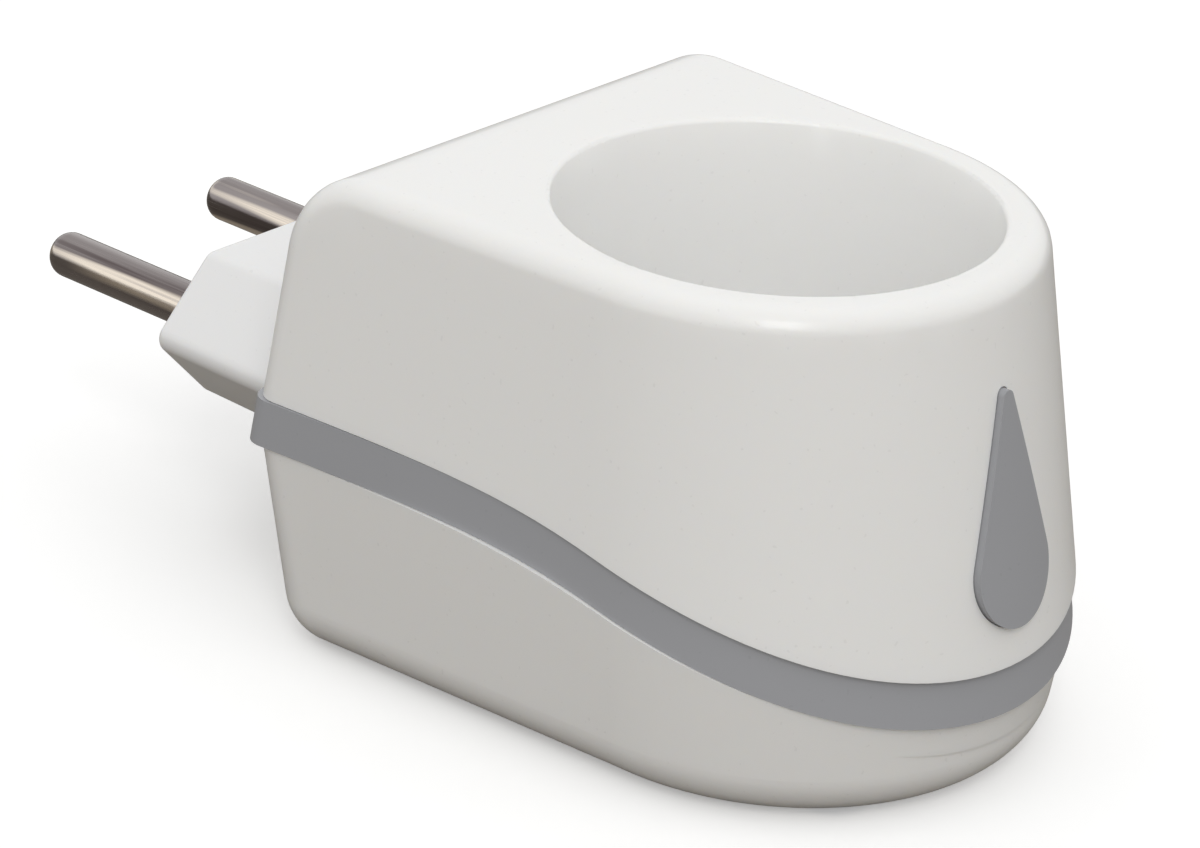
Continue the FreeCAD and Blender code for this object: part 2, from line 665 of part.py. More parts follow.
def plug():
    """The hexagonal plug with its flange inside the housings and a bore for each pin."""
    body = hexagon_solid(0, FLANGE_FACE.value, 0, size("plug_edge"))
    end_edges = [edge for edge in body.Edges if near(edge.BoundBox.YMin, 0)]
    body = body.makeFillet(size("plug_end_edge"), end_edges)
    flange = hexagon_solid(FLANGE_FACE.value, FLANGE_BACK.value, size("flange_margin"), size("plug_edge"))
    bore = size("pin_radius") + size("pin_play")
    over = size("overrun")
    pins = [Part.makeCylinder(bore, over * 2 - FLANGE_BACK.value, Vector(side * PIN_SIDE.value, over, 0),
                              Vector(0, -1, 0)) for side in (-1, 1)]
    return body.fuse(flange).removeSplitter().cut(pins)


def routed(points, radius):
    """A lead along straight runs with tangent bends."""
    edges = []
    here = points[0]
    for before, corner, after in zip(points, points[1:], points[2:]):
        arriving = (corner - before).normalize()
        leaving = (after - corner).normalize()
        half_turn = arriving.getAngle(leaving) / 2
        trim = BEND_SHARE * min(corner.distanceToPoint(before), corner.distanceToPoint(after))
        bend = trim / math.tan(half_turn)
        start = corner - arriving * trim
        end = corner + leaving * trim
        inward = (leaving - arriving).normalize()
        middle = corner + inward * (bend / math.cos(half_turn) - bend)
        edges.append(Part.makeLine(here, start))
        edges.append(Part.Arc(start, middle, end).toShape())
        here = end
    edges.append(Part.makeLine(here, points[-1]))
    path = Part.Wire(edges)
    first = points[1] - points[0]
    ring = Part.Wire([Part.makeCircle(radius, points[0], first)])
    tube = path.makePipeShell([ring], True, False)
    expected = math.pi * radius ** 2 * path.Length
    print(f"lead: {path.Length:.1f} mm long, volume {tube.Volume / expected:.3f} of its section times its length")
    return tube


def left_lead():
    """From the left sleeve to the tag of the upper electrode."""
    side = -PIN_SIDE.value
    turn = SLEEVE_END.value - size("lead_start")
    depth = -size("left_lead_depth")
    tag = -size("tag_side")
    points = [Vector(side, SLEEVE_END.value, 0), Vector(side, turn, 0), Vector(side, turn, depth),
              Vector(tag, UPPER_TAG_Y.value, depth), Vector(tag, UPPER_TAG_Y.value, TAG_FOOT.value)]
    return routed(points, size("lead_radius"))


def right_lead():
    """From the right sleeve to the thermal fuse."""
    side = PIN_SIDE.value
    turn = SLEEVE_END.value - size("lead_start")
    depth = -size("right_lead_depth")
    points = [Vector(side, SLEEVE_END.value, 0), Vector(side, turn, 0), Vector(side, turn, depth),
              Vector(side, turn - size("fuse_start"), depth)]
    return routed(points, size("lead_radius"))


def fuse_lead():
    """From the thermal fuse back to the tag of the lower electrode."""
    side = PIN_SIDE.value
    depth = -size("right_lead_depth")
    start = FUSE_START.value - size("fuse_length") - 2 * size("fuse_neck")
    turn = start - size("return_run")
    tag = size("tag_side")
    points = [Vector(side, start, depth), Vector(side, turn, depth), Vector(tag, turn, depth),
              Vector(tag, LOWER_TAG_Y.value, depth), Vector(tag, LOWER_TAG_Y.value, TAG_FOOT.value)]
    return routed(points, size("lead_radius"))


FUSE_START = SLEEVE_END - term("lead_start") - term("fuse_start")


def screw_group(places, seat, length):
    """Identical screws with domed heads and a recess, heads down."""
    head = size("screw_head_radius")
    high = size("screw_head_height")
    soft = size("screw_head_round")
    shank = size("screw_radius")
    points = [Vector(0, 0, seat + length), Vector(0, 0, seat - high), Vector(head - soft, 0, seat - high),
              Vector(head, 0, seat - high + soft), Vector(head, 0, seat), Vector(shank, 0, seat),
              Vector(shank, 0, seat + length - shank), Vector(shank / 2, 0, seat + length)]
    corner = Vector(head - soft * (1 - math.sqrt(0.5)), 0, seat - high + soft * (1 - math.sqrt(0.5)))
    edges = [Part.makeLine(points[0], points[1]), Part.makeLine(points[1], points[2]),
             Part.Arc(points[2], corner, points[3]).toShape()]
    edges += [Part.makeLine(one, two) for one, two in zip(points[3:], points[4:] + points[:1])]
    screw = Part.Face(Part.Wire(edges)).revolve(Vector(), Vector(0, 0, 1), 360)
    wing = size("screw_recess_radius") * 2
    blade = wing / 4
    depth = size("screw_recess")
    for across, along in ((wing, blade), (blade, wing)):
        corner = Vector(-across / 2, -along / 2, seat - high - depth)
        screw = screw.cut(Part.makeBox(across, along, 2 * depth, corner))
    group = []
    for x, y in places:
        copy = screw.copy()
        copy.translate(Vector(x, y, 0))
        group.append(copy)
    return Part.makeCompound(group)


# The pieces, one after another


def make_dish():
    """A turned aluminium dish: flange under the cup wall, upstand inside it."""
    inner = CUP_FOOT - term("dish_play") - term("dish_wall")
    outer = CUP_FOOT - term("dish_play")
    rim = FLANGE_TOP + term("dish_rise")
    corners = [(0, DISH_FOOT), (inner, DISH_FOOT), (inner, FLANGE_FOOT), (FLANGE_RADIUS, FLANGE_FOOT),
               (FLANGE_RADIUS, FLANGE_TOP), (outer, FLANGE_TOP), (outer, rim), (inner, rim),
               (inner, FLANGE_TOP), (0, FLANGE_TOP)]
    body = revolved("heat_dish", "XZ_Plane", "V_Axis", corners)
    rounded_edges(body, "heat_dish_round", "PartDesign::Fillet", "dish_round",
                  lambda edge: near(edge.BoundBox.ZMin, FLANGE_TOP.value) and near(edge.BoundBox.ZMax, FLANGE_TOP.value)
                  and near(edge.BoundBox.XMax, inner.value))
    return bind(body, Placement__Base__y=CUP_Y)


def make_seal():
    """The silicone ring between the cup wall and the flange."""
    inner = FLANGE_RADIUS - term("seal_width")
    corners = [(inner, FLANGE_TOP), (FLANGE_RADIUS, FLANGE_TOP),
               (FLANGE_RADIUS, "cup_end_height"), (inner, "cup_end_height")]
    body = revolved("dish_seal", "XZ_Plane", "V_Axis", corners)
    return bind(body, Placement__Base__y=CUP_Y)


def make_film():
    film = cylinder("insulating_film", "film_radius", "film_thickness", 0, CUP_Y, FILM_FOOT)
    film.Label = "insulating_film"
    return film


def make_electrode(name, foot, side, edge):
    """A contact plate with a tag that hangs from its back edge."""
    half_length = term("electrode_length") / 2
    half_width = term(name + "_width") / 2
    sheet_gap = term("electrode_sheet")
    corners = [(-half_length, -half_width), (half_length, -half_width), (half_length, half_width),
               (-half_length, half_width)]
    plate = padded(name + "_plate", "XY_Plane", corners, sheet_gap)
    bind(plate, Placement__Base__y=CUP_Y, Placement__Base__z=foot)
    tag = box(name + "_tag", "tag_width", sheet_gap, foot + sheet_gap - TAG_FOOT, side,
              edge + sheet_gap / 2, TAG_FOOT)
    both = fused(name, [plate, tag])
    both.Label = name
    return both


def make_pellet():
    """The heating ceramic, a block with broken edges."""
    half_length = term("pellet_length") / 2
    half_width = term("pellet_width") / 2
    corners = [(-half_length, -half_width), (half_length, -half_width), (half_length, half_width),
               (-half_length, half_width)]
    body = padded("heating_pellet", "XY_Plane", corners, "pellet_thickness")
    rounded_edges(body, "heating_pellet_edges", "PartDesign::Chamfer", "pellet_chamfer",
                  lambda edge: edge.BoundBox.ZLength > size("pellet_thickness") / 2)
    return bind(body, Placement__Base__y=CUP_Y, Placement__Base__z=PELLET_FOOT)


def make_pad():
    pad = box("mica_pad", "pad_length", "pad_width", "pad_thickness", 0, CUP_Y, PAD_FOOT)
    pad.Label = "mica_pad"
    return pad


def leaf_spring():
    """A bowed leaf: its ends stand on the carrier and its crown presses on the mica pad."""
    half = size("spring_length") / 2
    thick = size("spring_sheet")
    low = CARRIER_TOP.value
    high = PAD_FOOT.value
    front = CUP_Y.value - size("spring_width") / 2
    ends = [Vector(-half, front, low), Vector(half, front, low)]
    raised = [point + Vector(0, 0, thick) for point in ends]
    under = Part.Arc(ends[0], Vector(0, front, high - thick), ends[1]).toShape()
    above = Part.Arc(raised[1], Vector(0, front, high), raised[0]).toShape()
    edges = [under, Part.makeLine(ends[1], raised[1]), above, Part.makeLine(raised[0], ends[0])]
    return Part.Face(Part.Wire(edges)).extrude(Vector(0, size("spring_width"), 0))


def make_carrier():
    """The heat-proof cup that holds the heater stack against the dish."""
    inner = FLANGE_RADIUS - term("carrier_wall")
    corner = term("carrier_corner")
    corners = [(0, CARRIER_FOOT), (FLANGE_RADIUS - corner, CARRIER_FOOT),
               (FLANGE_RADIUS, CARRIER_FOOT + corner), (FLANGE_RADIUS, FLANGE_FOOT),
               (inner, FLANGE_FOOT), (inner, CARRIER_TOP), (0, CARRIER_TOP)]
    bowl = revolved("carrier_bowl", "XZ_Plane", "V_Axis", corners)
    bind(bowl, Placement__Base__y=CUP_Y)
    ears = [standing_tool(f"carrier_ear_{n}", "ear_radius", "ear_thickness", n, EAR_FOOT) for n in range(3)]
    necks = [carrier_neck(f"carrier_neck_{n}", n) for n in range(3)]
    body = fused("carrier_body", [bowl] + ears + necks)
    passage = term("screw_radius") + term("pass_play")
    holes = [standing_tool(f"carrier_hole_{n}", passage, term("ear_thickness") + term("overrun") * 2, n,
                           EAR_FOOT - term("overrun")) for n in range(3)]
    heads = [standing_tool(f"carrier_head_{n}", term("screw_head_radius") + term("pass_play"), term("overrun") * 2,
                           n, EAR_FOOT - term("overrun") * 2) for n in range(3)]
    slots = [box(f"carrier_slot_{n}", term("tag_width") + term("slot_play") * 2,
                 term("electrode_sheet") + term("slot_play") * 2, term("carrier_floor") + term("overrun") * 2,
                 side, edge + term("electrode_sheet") / 2, CARRIER_FOOT - term("overrun"))
             for n, (side, edge) in enumerate(((-term("tag_side"), UPPER_TAG_Y), (term("tag_side"), LOWER_TAG_Y)))]
    carrier = cut("heater_carrier", body, fused("carrier_cutters", holes + heads + slots))
    carrier.Label = "heater_carrier"
    return carrier


def standing_tool(name, radius, height, number, foot):
    """A bound cylinder at one of the three places of the carrier's posts."""
    made = cylinder(name, radius, height)
    angle = CARRIER_ANGLES[number]
    across = RING_RADIUS * math.cos(math.radians(angle))
    along = CUP_Y + RING_RADIUS * math.sin(math.radians(angle))
    return bind(made, Placement__Base__x=across, Placement__Base__y=along, Placement__Base__z=foot)


def carrier_neck(name, number):
    """A bound box that joins one ear to the wall of the carrier."""
    angle = CARRIER_ANGLES[number]
    across = math.cos(math.radians(angle))
    along = math.sin(math.radians(angle))
    start = FLANGE_RADIUS - term("carrier_wall") / 2
    half = term("ear_neck") / 2
    neck = tool("Part::Box", name, Length=RING_RADIUS - start, Width="ear_neck", Height="ear_thickness")
    neck.Placement.Rotation = FreeCAD.Rotation(Vector(0, 0, 1), angle)
    return bind(neck, Placement__Base__x=start * across + half * along,
                Placement__Base__y=CUP_Y + start * along - half * across, Placement__Base__z=EAR_FOOT)


def make_pin(name, side):
    """A turned pin: round tip, a groove inside the end face of the plug and a thinner stub inside."""
    corners = [(0, STUB_END), ("stub_radius", STUB_END), ("stub_radius", FLANGE_BACK),
               ("pin_radius", FLANGE_BACK), ("pin_radius", -term("pin_groove")),
               ("pin_groove_radius", -term("pin_groove")), ("pin_groove_radius", 0), ("pin_radius", 0),
               ("pin_radius", "pin_length"), (0, "pin_length")]
    body = revolved(name, "XY_Plane", "V_Axis", corners)
    rounded_edges(body, name + "_tip", "PartDesign::Fillet", "pin_tip_round",
                  lambda edge: near(edge.BoundBox.YMin, size("pin_length")))
    return bind(body, Placement__Base__x=side)


def make_sleeve(name, side):
    """A crimp sleeve over the stub, closed round the lead at its other end."""
    bore = term("stub_radius") + term("sleeve_play")
    outer = bore + term("sleeve_wall")
    corners = [(0, SLEEVE_END), (outer, SLEEVE_END), (outer, FLANGE_BACK), (bore, FLANGE_BACK),
               (bore, STUB_END - term("sleeve_play")), (0, STUB_END - term("sleeve_play"))]
    body = revolved(name, "XY_Plane", "V_Axis", corners)
    return bind(body, Placement__Base__x=side)


def make_fuse():
    """A thermal fuse with a cone at each end, lying along Y."""
    radius = term("fuse_radius")
    end = FUSE_START - term("fuse_length") - term("fuse_neck") * 2
    low = end + term("fuse_neck")
    high = FUSE_START - term("fuse_neck")
    corners = [(0, end), ("lead_radius", end), (radius, low), (radius, high), ("lead_radius", FUSE_START),
               (0, FUSE_START)]
    body = revolved("thermal_fuse", "XY_Plane", "V_Axis", corners)
    return bind(body, Placement__Base__x=PIN_SIDE, Placement__Base__z=-term("right_lead_depth"))


def make_fuse_sleeve():
    """The glass fibre sleeve that the fuse lies in."""
    bore = term("fuse_radius") + term("fuse_sleeve_play")
    outer = bore + term("fuse_sleeve_wall")
    low = FUSE_START - term("fuse_length") - term("fuse_neck")
    high = FUSE_START - term("fuse_neck")
    body = revolved("fuse_sleeve", "XY_Plane", "V_Axis", [(bore, low), (outer, low), (outer, high), (bore, high)])
    return bind(body, Placement__Base__x=PIN_SIDE, Placement__Base__z=-term("right_lead_depth"))


CARRIER_SEAT = EAR_FOOT.value
HOUSING_SEAT = -size("sink_seat_depth")

PIECES = [
    feature("upper_housing", upper_housing()),
    feature("lower_housing", lower_housing()),
    feature("grey_band", band()),
    feature("nose_drop", drop()),
    feature("plug_body", plug()),
    make_pin("left_pin", -PIN_SIDE),
    make_pin("right_pin", PIN_SIDE),
    make_sleeve("left_crimp", -PIN_SIDE),
    make_sleeve("right_crimp", PIN_SIDE),
    make_dish(),
    make_seal(),
    make_film(),
    make_electrode("upper_electrode", HOT_FOOT, -term("tag_side"), UPPER_TAG_Y),
    make_pellet(),
    make_electrode("lower_electrode", COLD_FOOT, term("tag_side"), LOWER_TAG_Y),
    make_pad(),
    feature("leaf_spring", leaf_spring()),
    make_carrier(),
    feature("carrier_screws", screw_group(CARRIER_PLACES, CARRIER_SEAT, size("carrier_screw_length"))),
    feature("housing_screws", screw_group(HOUSING_PLACES, HOUSING_SEAT, size("housing_screw_length"))),
    feature("left_lead", left_lead()),
    feature("right_lead", right_lead()),
    make_fuse(),
    make_fuse_sleeve(),
    feature("fuse_lead", fuse_lead()),
]

doc.recompute()
for thing in doc.Objects:
    if "Invalid" in thing.State or "Error" in thing.State:
        raise RuntimeError(f"{thing.Name} failed: {thing.State}")
for piece in PIECES:
    if piece.Shape.isNull() or not piece.Shape.isValid():
        raise RuntimeError(f"{piece.Label} has no valid shape")

os.makedirs("parts", exist_ok=True)
for piece in PIECES:
    piece.Shape.exportStep(f"parts/{piece.Label}.step")
    box_of = piece.Shape.BoundBox
    print(f"{piece.Label}: {len(piece.Shape.Solids)} solids, {piece.Shape.Volume:.0f} mm3, "
          f"x {box_of.XMin:.1f} {box_of.XMax:.1f}, y {box_of.YMin:.1f} {box_of.YMax:.1f}, "
          f"z {box_of.ZMin:.1f} {box_of.ZMax:.1f}")
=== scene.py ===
import math

import bpy
from mathutils import Matrix, Vector


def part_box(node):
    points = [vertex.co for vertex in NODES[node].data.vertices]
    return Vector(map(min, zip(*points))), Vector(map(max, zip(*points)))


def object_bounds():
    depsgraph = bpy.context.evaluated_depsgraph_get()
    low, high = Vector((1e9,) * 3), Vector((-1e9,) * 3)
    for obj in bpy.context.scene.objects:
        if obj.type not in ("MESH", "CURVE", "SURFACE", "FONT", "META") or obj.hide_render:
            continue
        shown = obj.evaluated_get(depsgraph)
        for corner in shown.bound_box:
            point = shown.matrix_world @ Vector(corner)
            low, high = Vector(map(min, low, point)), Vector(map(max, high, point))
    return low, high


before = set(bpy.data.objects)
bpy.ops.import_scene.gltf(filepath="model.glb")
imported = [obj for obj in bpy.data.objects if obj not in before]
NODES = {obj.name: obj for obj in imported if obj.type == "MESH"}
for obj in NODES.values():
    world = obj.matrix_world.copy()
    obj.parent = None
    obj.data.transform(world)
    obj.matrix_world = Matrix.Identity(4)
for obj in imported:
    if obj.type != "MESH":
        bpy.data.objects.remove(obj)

CAD_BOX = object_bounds()
scene = bpy.context.scene


# Shader helpers

# turned rings of the dish, and threads of the braid, in cycles per metre
RING_RATE = 420
BRAID_RATE = 360
# depth of the turned rings and of the braid's threads, in metres
RING_DEPTH = 3e-6
BRAID_DEPTH = 6e-5


def new_material(name):
    """A material with a Principled shader and Object coordinates."""
    material = bpy.data.materials.new(name)
    material.use_nodes = True
    tree = material.node_tree
    tree.nodes.clear()
    out = tree.nodes.new("ShaderNodeOutputMaterial")
    shader = tree.nodes.new("ShaderNodeBsdfPrincipled")
    tree.links.new(shader.outputs["BSDF"], out.inputs["Surface"])
    coordinates = tree.nodes.new("ShaderNodeTexCoord")
    return material, tree, shader, coordinates.outputs["Object"]


def scaled(tree, source, scale, turn=(0, 0, 0), move=(0, 0, 0)):
    """Coordinates stretched by a scale per axis, in cycles per metre."""
    mapping = tree.nodes.new("ShaderNodeMapping")
    mapping.inputs["Location"].default_value = move
    mapping.inputs["Rotation"].default_value = turn
    mapping.inputs["Scale"].default_value = scale
    tree.links.new(source, mapping.inputs["Vector"])
    return mapping.outputs["Vector"]


def noise(tree, source, scale, detail=2.0, rough=0.5, stretch=(1, 1, 1), move=(0, 0, 0)):
    """Noise of a number of cycles per metre."""
    node = tree.nodes.new("ShaderNodeTexNoise")
    node.inputs["Scale"].default_value = 1.0
    node.inputs["Detail"].default_value = detail
    node.inputs["Roughness"].default_value = rough
    spread = tuple(scale * part for part in stretch)
    tree.links.new(scaled(tree, source, spread, move=move), node.inputs["Vector"])
    return node.outputs["Fac"]


def ramp(tree, source, low, high, start, end):
    """A value carried from one range to another."""
    node = tree.nodes.new("ShaderNodeMapRange")
    for name, value in (("From Min", low), ("From Max", high), ("To Min", start), ("To Max", end)):
        node.inputs[name].default_value = value
    tree.links.new(source, node.inputs["Value"])
    return node.outputs["Result"]


def blended(tree, factor, one, other):
    """A colour between two colours."""
    node = tree.nodes.new("ShaderNodeMix")
    node.data_type = "RGBA"
    tree.links.new(factor, node.inputs["Factor"])
    for name, colour in (("A", one), ("B", other)):
        socket = [item for item in node.inputs if item.name == name and item.type == "RGBA"][0]
        if isinstance(colour, tuple):
            socket.default_value = (*colour, 1.0)
        else:
            tree.links.new(colour, socket)
    return [item for item in node.outputs if item.type == "RGBA"][0]


def bumped(tree, source, distance, under=None):
    """A bump of a height in metres, over another bump if one is given."""
    node = tree.nodes.new("ShaderNodeBump")
    node.inputs["Distance"].default_value = distance
    node.inputs["Strength"].default_value = 1.0
    tree.links.new(source, node.inputs["Height"])
    if under is not None:
        tree.links.new(under, node.inputs["Normal"])
    return node.outputs["Normal"]


def plastic(name, colour, shade, rough, coat=0.0, soft=0.0, grain=6e-7):
    """Moulded plastic: slow colour drift, pinpoint specks, faint orange peel and slightly uneven gloss."""
    material, tree, shader, place = new_material(name)
    drift = noise(tree, place, 30, 0.5)
    base = blended(tree, ramp(tree, drift, 0.2, 0.8, 0, 1), colour, shade)
    dots = noise(tree, place, 2600, 0.0)
    dark = tuple(part * 0.9 for part in shade)
    base = blended(tree, ramp(tree, dots, 0.80, 0.84, 0, 0.5), base, dark)
    tree.links.new(base, shader.inputs["Base Color"])
    smear = noise(tree, place, 70, 1.0, 0.5)
    tree.links.new(ramp(tree, smear, 0.2, 0.8, rough * 0.9, rough * 1.12), shader.inputs["Roughness"])
    tree.links.new(bumped(tree, noise(tree, place, 1400, 2.0), grain), shader.inputs["Normal"])
    shader.inputs["IOR"].default_value = 1.5
    shader.inputs["Coat Weight"].default_value = coat
    shader.inputs["Coat Roughness"].default_value = 0.12
    if soft:
        shader.inputs["Subsurface Weight"].default_value = soft
        shader.inputs["Subsurface Radius"].default_value = (1.0, 0.85, 0.65)
        shader.inputs["Subsurface Scale"].default_value = 0.0012
    return material


def metal(name, colour, shade, rough, along=(1, 1, 1), scratches=900, depth=1.5e-6, turned=None):
    """Metal with drawn or turned marks: along squeezes the noise so that it runs as streaks."""
    material, tree, shader, place = new_material(name)
    streaks = noise(tree, place, scratches, 4.0, 0.65, along)
    stain = noise(tree, place, 160, 4.0, 0.6)
    first = blended(tree, ramp(tree, stain, 0.35, 0.7, 0, 1), colour, shade)
    dark = tuple(part * 0.62 for part in shade)
    base = blended(tree, ramp(tree, streaks, 0.55, 0.8, 0, 0.6), first, dark)
    tree.links.new(base, shader.inputs["Base Color"])
    tree.links.new(ramp(tree, streaks, 0.25, 0.75, rough * 0.75, rough * 1.3), shader.inputs["Roughness"])
    shader.inputs["Metallic"].default_value = 1.0
    normal = bumped(tree, streaks, depth)
    if turned is not None:
        rings = tree.nodes.new("ShaderNodeTexWave")
        rings.wave_type = "RINGS"
        rings.rings_direction = "Z"
        rings.inputs["Scale"].default_value = 1.0
        rings.inputs["Distortion"].default_value = 0.6
        rings.inputs["Detail"].default_value = 2.0
        centred = scaled(tree, place, (RING_RATE, RING_RATE, 0), move=(0, -turned * RING_RATE, 0))
        tree.links.new(centred, rings.inputs["Vector"])
        normal = bumped(tree, rings.outputs["Fac"], RING_DEPTH, normal)
    tree.links.new(normal, shader.inputs["Normal"])
    return material


def drawn_pin_with_painted_reflection(name, painted_highlight, middle, dark, painted_highlight_from):
    """Drawn nickel with its reflection painted into the colour: slow light and dark bands of painted
    reflection round the pin, pale streaks of painted highlight along it, and fine drawn lines over them.
    """
    material, tree, shader, place = new_material(name)
    # light and dark bands round the pin: painted reflection
    painted_reflection_zones = noise(tree, place, 420, 2.0, 0.5, (1, 0.03, 1))
    # pale streaks along the pin: painted highlight
    streaks = noise(tree, place, 560, 1.0, 0.5, (1, 0.045, 1), painted_highlight_from)
    fine = noise(tree, place, 3600, 3.0, 0.6, (1, 0.012, 1))
    base = blended(tree, ramp(tree, painted_reflection_zones, 0.36, 0.62, 0, 1), dark, middle)
    base = blended(tree, ramp(tree, streaks, 0.54, 0.64, 0, 1), base, painted_highlight)
    base = blended(tree, ramp(tree, fine, 0.45, 0.7, 0, 0.5), base, middle)
    tree.links.new(base, shader.inputs["Base Color"])
    tree.links.new(ramp(tree, fine, 0.3, 0.7, 0.16, 0.3), shader.inputs["Roughness"])
    tree.links.new(bumped(tree, fine, 1.2e-6), shader.inputs["Normal"])
    shader.inputs["Metallic"].default_value = 1.0
    return material


def coarse(name, colour, shade, rough, scale, depth, stretch=(1, 1, 1)):
    """Pressed, fired or woven stuff with its own grain."""
    material, tree, shader, place = new_material(name)
    grain = noise(tree, place, scale, 5.0, 0.65, stretch)
    base = blended(tree, ramp(tree, grain, 0.35, 0.65, 0, 1), colour, shade)
    tree.links.new(base, shader.inputs["Base Color"])
    gloss = ramp(tree, grain, 0.3, 0.7, rough * 0.85, min(rough * 1.1, 1.0))
    tree.links.new(gloss, shader.inputs["Roughness"])
    tree.links.new(bumped(tree, grain, depth), shader.inputs["Normal"])
    return material


def woven(name, colour, shade):
    """Braided glass fibre: two crossed waves along the sleeve, darker down in their hollows as painted shade
    between the threads.
    """
    material, tree, shader, place = new_material(name)
    heights = []
    for slant in (math.radians(45), math.radians(-45)):
        wave = tree.nodes.new("ShaderNodeTexWave")
        wave.inputs["Scale"].default_value = 1.0
        wave.inputs["Distortion"].default_value = 0.4
        thread = scaled(tree, place, (BRAID_RATE, BRAID_RATE, BRAID_RATE), (slant, 0, slant))
        tree.links.new(thread, wave.inputs["Vector"])
        heights.append(wave.outputs["Fac"])
    both = tree.nodes.new("ShaderNodeMath")
    both.operation = "MAXIMUM"
    for index, height in enumerate(heights):
        tree.links.new(height, both.inputs[index])
    weave = both.outputs["Value"]
    # the colour goes to the darker one in the hollows of the weave: painted shade between the threads
    tree.links.new(blended(tree, weave, shade, colour), shader.inputs["Base Color"])
    tree.links.new(bumped(tree, weave, BRAID_DEPTH), shader.inputs["Normal"])
    shader.inputs["Roughness"].default_value = 0.8
    return material


# Materials of the CAD nodes

CUP_Y = (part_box("heat_dish")[0][1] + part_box("heat_dish")[1][1]) / 2

# where the noise of the pins' painted highlight streaks starts, which settles where they lie
PAINTED_HIGHLIGHT_FROM = (16.0, 3.87, 6.2)

WHITE = plastic("white_housing_plastic", (0.915, 0.912, 0.893), (0.905, 0.90, 0.88), 0.34, coat=0.3, soft=0.15)
GREY = plastic("grey_satin_plastic", (0.372, 0.378, 0.398), (0.36, 0.366, 0.385), 0.42, grain=2.4e-6)
PLUG = plastic("white_plug_plastic", (0.86, 0.86, 0.858), (0.85, 0.85, 0.847), 0.34, coat=0.3, soft=0.15)
# the pin's pale colour is painted highlight, and its middle and dark colours are painted reflection
PIN = drawn_pin_with_painted_reflection("nickel_pin", (0.86, 0.77, 0.66), (0.33, 0.30, 0.295), (0.12, 0.098, 0.098), PAINTED_HIGHLIGHT_FROM)
DISH = metal("turned_aluminium", (0.82, 0.82, 0.83), (0.76, 0.76, 0.77), 0.3, depth=8e-7, turned=CUP_Y)
SCREW = metal("zinc_screw", (0.72, 0.72, 0.70), (0.62, 0.62, 0.60), 0.3, scratches=1600)
TINNED = metal("tinned_copper", (0.78, 0.77, 0.75), (0.68, 0.66, 0.62), 0.33, along=(1, 0.1, 1))
SHEET = metal("rolled_sheet", (0.72, 0.72, 0.71), (0.64, 0.64, 0.63), 0.32, along=(0.05, 1, 1))
SPRING = metal("spring_strip", (0.55, 0.56, 0.58), (0.45, 0.44, 0.44), 0.3, along=(0.05, 1, 1))
FUSE = metal("fuse_case", (0.75, 0.74, 0.72), (0.66, 0.65, 0.62), 0.3, along=(1, 0.05, 1))
SEAL = coarse("silicone_seal", (0.62, 0.61, 0.58), (0.56, 0.55, 0.52), 0.5, 900, 2e-6)
FILM = coarse("amber_film", (0.55, 0.27, 0.06), (0.48, 0.22, 0.04), 0.25, 500, 1e-6)
CERAMIC = coarse("heating_ceramic", (0.16, 0.16, 0.175), (0.12, 0.12, 0.13), 0.75, 2600, 4e-6)
MICA = coarse("pressed_mica", (0.58, 0.52, 0.40), (0.42, 0.36, 0.26), 0.45, 1100, 4e-6, (1, 1, 0.2))
CARRIER = plastic("black_heatproof_plastic", (0.035, 0.035, 0.037), (0.028, 0.028, 0.029), 0.5, grain=6e-6)
LEAD = coarse("silicone_insulation", (0.80, 0.79, 0.75), (0.74, 0.73, 0.68), 0.45, 1200, 1.5e-6)
# the braid's second, darker colour is painted shade in the hollows of the weave
BRAID = woven("glass_fibre_braid", (0.82, 0.79, 0.70), (0.52, 0.48, 0.38))

FINISHES = {
    WHITE: ("upper_housing", "lower_housing"),
    GREY: ("grey_band", "nose_drop"),
    PLUG: ("plug_body",),
    PIN: ("left_pin", "right_pin"),
    DISH: ("heat_dish",),
    SCREW: ("carrier_screws", "housing_screws"),
    TINNED: ("left_crimp", "right_crimp"),
    SHEET: ("upper_electrode", "lower_electrode"),
    SPRING: ("leaf_spring",),
    FUSE: ("thermal_fuse",),
    SEAL: ("dish_seal",),
    FILM: ("insulating_film",),
    CERAMIC: ("heating_pellet",),
    MICA: ("mica_pad",),
    CARRIER: ("heater_carrier",),
    LEAD: ("left_lead", "right_lead", "fuse_lead"),
    BRAID: ("fuse_sleeve",),
}
for finish, names in FINISHES.items():
    for name in names:
        for slot in NODES[name].material_slots:
            slot.material = finish


# Shading of the moulded housings

# the round edges of the mesh are under this angle from facet to facet, and real edges are over it
EDGE_ANGLE = math.radians(25)
# a copy's facets are welded over this gap, which loses at most this many faces without a width
WELD = 1e-6
LOST_FACES = 48
# the tub's wall above its round bottom edge, and how far it leans in towards the foot
TUB_FOOT = CAD_BOX[0][2] + 0.0044
TUB_LEAN = 0.13
# the wall that is evened lies in front of this, and its normals are less steep than this
TUB_FRONT = CUP_Y / 2
UPRIGHT = 0.3


def shading_tree(name, sizes):
    """An empty tree for a modifier, with its named sizes as inputs."""
    tree = bpy.data.node_groups.new(name, "GeometryNodeTree")
    tree.interface.new_socket("Mesh", in_out="INPUT", socket_type="NodeSocketGeometry")
    for size in sizes:
        tree.interface.new_socket(size, in_out="INPUT", socket_type="NodeSocketFloat")
    tree.interface.new_socket("Mesh", in_out="OUTPUT", socket_type="NodeSocketGeometry")
    return tree, tree.nodes.new("NodeGroupInput"), tree.nodes.new("NodeGroupOutput")


